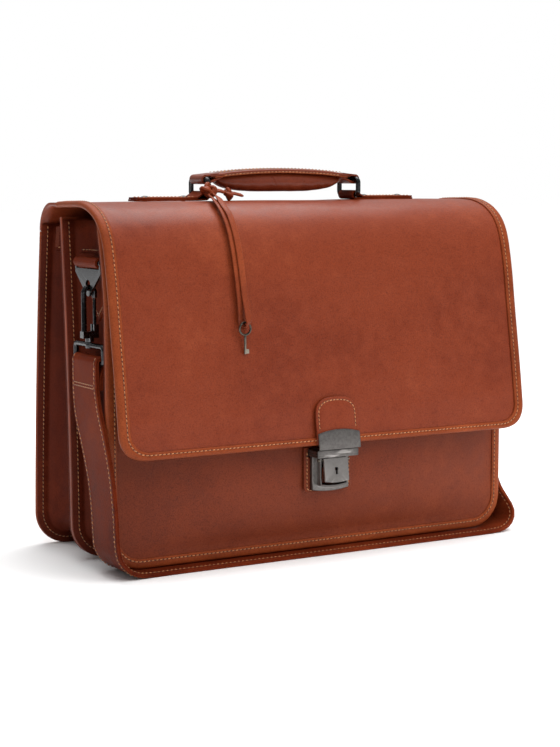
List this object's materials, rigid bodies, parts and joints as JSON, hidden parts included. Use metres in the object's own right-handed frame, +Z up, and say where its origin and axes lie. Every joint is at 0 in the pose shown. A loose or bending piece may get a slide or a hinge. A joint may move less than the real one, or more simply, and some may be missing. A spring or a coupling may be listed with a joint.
{
  "type": "briefcase",
  "caption": "Leather briefcase with two bellows compartments, a full front flap with a press lock, a handle on rings and a clipped shoulder strap.",
  "frame": {"origin": "on the floor, under the middle of the overall width and depth with the shoulder strap clipped on", "axes": "+X to the right seen from the front, -Y to the front where the flap and lock are, +Z up"},
  "size_m": [0.4181, 0.1959, 0.3356],
  "materials": {
    "hide": "vegetable-tanned leather, semi-gloss, with a fine grain",
    "flap_hide": "vegetable-tanned leather, semi-gloss, with soft tonal clouds",
    "gusset_hide": "soft dark leather, satin",
    "edge_hide": "leather binding, semi-gloss, stitched",
    "strap_hide": "harness leather, satin",
    "lining": "plain woven cotton",
    "lock_metal": "antique nickel, worn bright on its edges",
    "rig_metal": "dark gunmetal plating, polished",
    "steel": "plain steel",
    "lace_hide": "round leather lace",
    "padding": "cotton cord padding"
  },
  "bodies": {
    "case": {"back_panel": "hide", "back_binding": "edge_hide", "partition": "hide", "front_panel": "hide", "front_binding": "edge_hide", "rear_gusset": "gusset_hide", "front_gusset": "gusset_hide", "rear_gusset_facing": "hide", "front_gusset_facing": "hide", "slip_pocket": "lining", "flap_hinge": "flap_hide", "lock_patch": "flap_hide", "lock_base": "lock_metal", "lock_pin": "steel", "lock_spring": "steel", "lock_backplate": "steel", "lock_screws": "steel", "side_tab_left": "strap_hide", "side_tab_right": "strap_hide", "strap_end_left": "strap_hide", "strap_end_right": "strap_hide", "strap_short": "strap_hide", "shoulder_strap": "strap_hide", "buckle_frame": "rig_metal", "strap_keeper": "strap_hide"},
    "flap": {"flap": "flap_hide", "flap_binding": "edge_hide", "flap_stiffener": "hide", "lock_tab": "flap_hide", "hasp_plate": "lock_metal", "hasp_tongue": "lock_metal", "chape_left": "strap_hide", "chape_right": "strap_hide", "handle_rivets": "rig_metal", "key_lace": "lace_hide", "lace_tail_knot": "lace_hide"},
    "ring_left": {"ring_left": "rig_metal", "lace_knot": "lace_hide"},
    "ring_right": {"ring_right": "rig_metal"},
    "handle": {"handle_strap": "strap_hide", "handle_grip": "strap_hide", "handle_core": "padding"},
    "lock_button": {"lock_button": "lock_metal"},
    "key_cam": {"key_cam": "steel"},
    "key": {"key": "steel"},
    "buckle_prong": {"buckle_prong": "rig_metal"},
    "eye_left": {"swivel_eye_left": "rig_metal"},
    "triangle_left": {"triangle_left": "rig_metal"},
    "hook_left": {"snap_hook_left": "rig_metal"},
    "gate_left": {"snap_gate_left": "rig_metal"},
    "eye_right": {"swivel_eye_right": "rig_metal"},
    "triangle_right": {"triangle_right": "rig_metal"},
    "hook_right": {"snap_hook_right": "rig_metal"},
    "gate_right": {"snap_gate_right": "rig_metal"}
  },
  "joints": [
    {"name": "flap_open", "type": "hinge", "parent": "case", "child": "flap", "pos_m": [-0.0068, 0.0508, 0.281], "axis": [-1, 0, 0], "range_deg": [0, 135], "deforming": ["flap_hinge"]},
    {"name": "ring_swing_left", "type": "hinge", "parent": "flap", "child": "ring_left", "pos_m": [-0.0838, 0.0108, 0.3114], "axis": [0, 1, 0], "range_deg": [-45, 45], "deforming": ["key_lace"]},
    {"name": "handle_rock", "type": "hinge", "parent": "ring_left", "child": "handle", "pos_m": [-0.0838, 0.0108, 0.3256], "axis": [0, 1, 0], "range_deg": [-45, 45]},
    {"name": "ring_swing_right", "type": "hinge", "parent": "flap", "child": "ring_right", "pos_m": [0.0702, 0.0108, 0.3114], "axis": [0, 1, 0], "range_deg": [-45, 45]},
    {"name": "button_press", "type": "hinge", "parent": "case", "child": "lock_button", "pos_m": [-0.0068, -0.087, 0.0864], "axis": [1, 0, 0], "range_deg": [0, 6], "stiffness_Nm_per_rad": 0.05, "springref_deg": -8.59, "deforming": ["lock_spring"]},
    {"name": "key_turn", "type": "hinge", "parent": "lock_button", "child": "key_cam", "pos_m": [-0.0068, -0.09207, 0.07903], "axis": [0, 0.9903, -0.1392], "range_deg": [0, 90]},
    {"name": "key_swing", "type": "hinge", "parent": "flap", "child": "key", "pos_m": [-0.091, -0.0824, 0.2027], "axis": [0, 1, 0], "range_deg": [-60, 60]},
    {"name": "prong_lift", "type": "hinge", "parent": "case", "child": "buckle_prong", "pos_m": [0.1978, -0.0208, 0.127], "axis": [0, -1, 0], "range_deg": [0, 30]},
    {"name": "eye_swing_left", "type": "hinge", "parent": "case", "child": "eye_left", "pos_m": [-0.2042, -0.0208, 0.176], "axis": [0, -1, 0], "range_deg": [-0.8, 2], "deforming": ["strap_end_left"]},
    {"name": "triangle_swing_left", "type": "hinge", "parent": "case", "child": "triangle_left", "pos_m": [-0.2042, -0.0208, 0.258], "axis": [0, -1, 0], "range_deg": [-6, 2.5]},
    {"name": "hook_swivel_left", "type": "hinge", "parent": "eye_left", "child": "hook_left", "pos_m": [-0.2042, -0.0208, 0.1922], "axis": [0, 0, 1], "range_deg": [-20, 20]},
    {"name": "gate_press_left", "type": "hinge", "parent": "hook_left", "child": "gate_left", "pos_m": [-0.1994, -0.0208, 0.203], "axis": [0, -1, 0], "range_deg": [0, 13], "stiffness_Nm_per_rad": 0.02, "springref_deg": -11.46},
    {"name": "eye_swing_right", "type": "hinge", "parent": "case", "child": "eye_right", "pos_m": [0.1906, -0.0208, 0.176], "axis": [0, 1, 0], "range_deg": [-0.8, 2], "deforming": ["strap_end_right"]},
    {"name": "triangle_swing_right", "type": "hinge", "parent": "case", "child": "triangle_right", "pos_m": [0.1906, -0.0208, 0.258], "axis": [0, 1, 0], "range_deg": [-6, 2.5]},
    {"name": "hook_swivel_right", "type": "hinge", "parent": "eye_right", "child": "hook_right", "pos_m": [0.1906, -0.0208, 0.1922], "axis": [0, 0, 1], "range_deg": [-20, 20]},
    {"name": "gate_press_right", "type": "hinge", "parent": "hook_right", "child": "gate_right", "pos_m": [0.1858, -0.0208, 0.203], "axis": [0, 1, 0], "range_deg": [0, 13], "stiffness_Nm_per_rad": 0.02, "springref_deg": -11.46}
  ],
  "couplings": [
    {"joint": "handle_rock", "follows": "ring_swing_left", "ratio": -1},
    {"joint": "ring_swing_right", "follows": "ring_swing_left", "ratio": 1},
    {"joint": "triangle_swing_left", "follows": "eye_swing_left", "ratio": -2.85},
    {"joint": "triangle_swing_right", "follows": "eye_swing_right", "ratio": -2.85}
  ]
}
